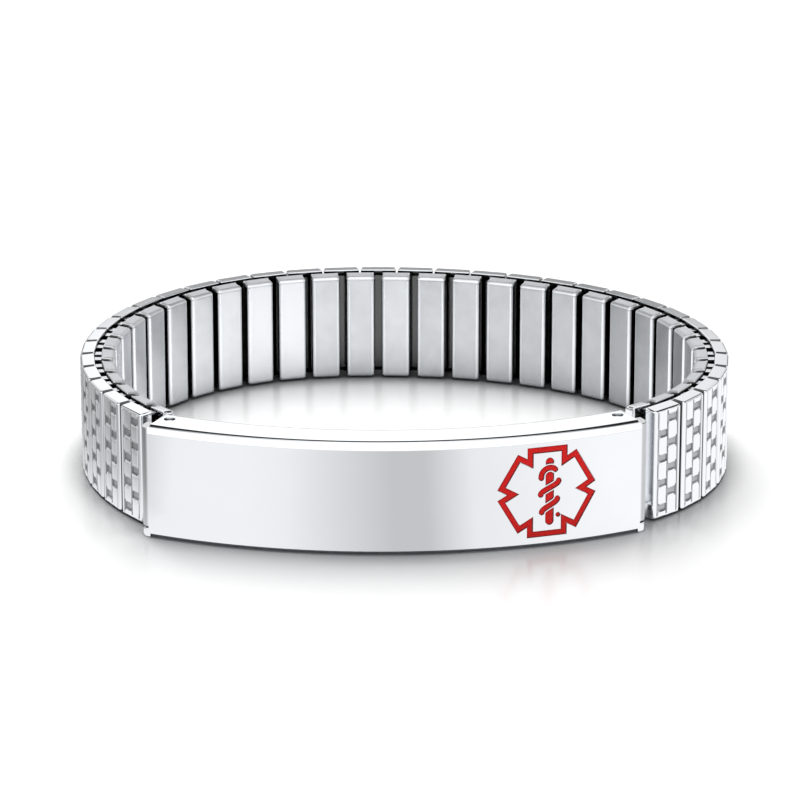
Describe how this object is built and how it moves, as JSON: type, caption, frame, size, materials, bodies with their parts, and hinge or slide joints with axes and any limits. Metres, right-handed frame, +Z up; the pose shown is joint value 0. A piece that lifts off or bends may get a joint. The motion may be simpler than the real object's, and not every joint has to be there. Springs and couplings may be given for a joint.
{
  "type": "medical alert bracelet",
  "caption": "Expansion bracelet of folded steel links in two rows, closed by a curved identity plate with an engraved red medical star.",
  "frame": {"origin": "on the surface that the bracelet stands on, under the middle of its outline", "axes": "+Z up along the loop's axis, +X along the plate to the emblem's end, -Y out through the plate's front"},
  "size_m": [0.0684, 0.0584, 0.012],
  "materials": {
    "plate_steel": "mirror-polished stainless steel",
    "link_steel": "polished pads with satin grooves",
    "inner_steel": "satin stainless steel with bright edges",
    "bow_steel": "bright rolled stainless steel",
    "pin_steel": "polished stainless steel",
    "red_enamel": "glossy red enamel"
  },
  "bodies": {
    "root": {"id_plate": "plate_steel", "emblem_enamel": "red_enamel", "hinge_pin_right": "pin_steel", "hinge_pin_left": "pin_steel", "end_link_right": "inner_steel", "end_link_left": "inner_steel", "inner_links": "inner_steel", "upper_bows": "bow_steel", "lower_bows": "bow_steel", "outer_link_01": "link_steel", "outer_link_02": "link_steel", "outer_link_03": "link_steel", "outer_link_04": "link_steel", "outer_link_05": "link_steel", "outer_link_06": "link_steel", "outer_link_07": "link_steel", "outer_link_08": "link_steel", "outer_link_09": "link_steel", "outer_link_10": "link_steel", "outer_link_11": "link_steel", "outer_link_12": "link_steel", "outer_link_13": "link_steel", "outer_link_14": "link_steel", "outer_link_15": "link_steel", "outer_link_16": "link_steel", "outer_link_17": "link_steel", "outer_link_18": "link_steel", "outer_link_19": "link_steel", "outer_link_20": "link_steel", "outer_link_21": "link_steel", "outer_link_22": "link_steel", "outer_link_23": "link_steel", "outer_link_24": "link_steel", "outer_link_25": "link_steel", "outer_link_26": "link_steel", "outer_link_27": "link_steel", "outer_link_28": "link_steel", "outer_link_29": "link_steel", "outer_link_30": "link_steel", "outer_link_31": "link_steel", "outer_link_32": "link_steel", "outer_link_33": "link_steel", "outer_link_34": "link_steel"}
  },
  "joints": []
}
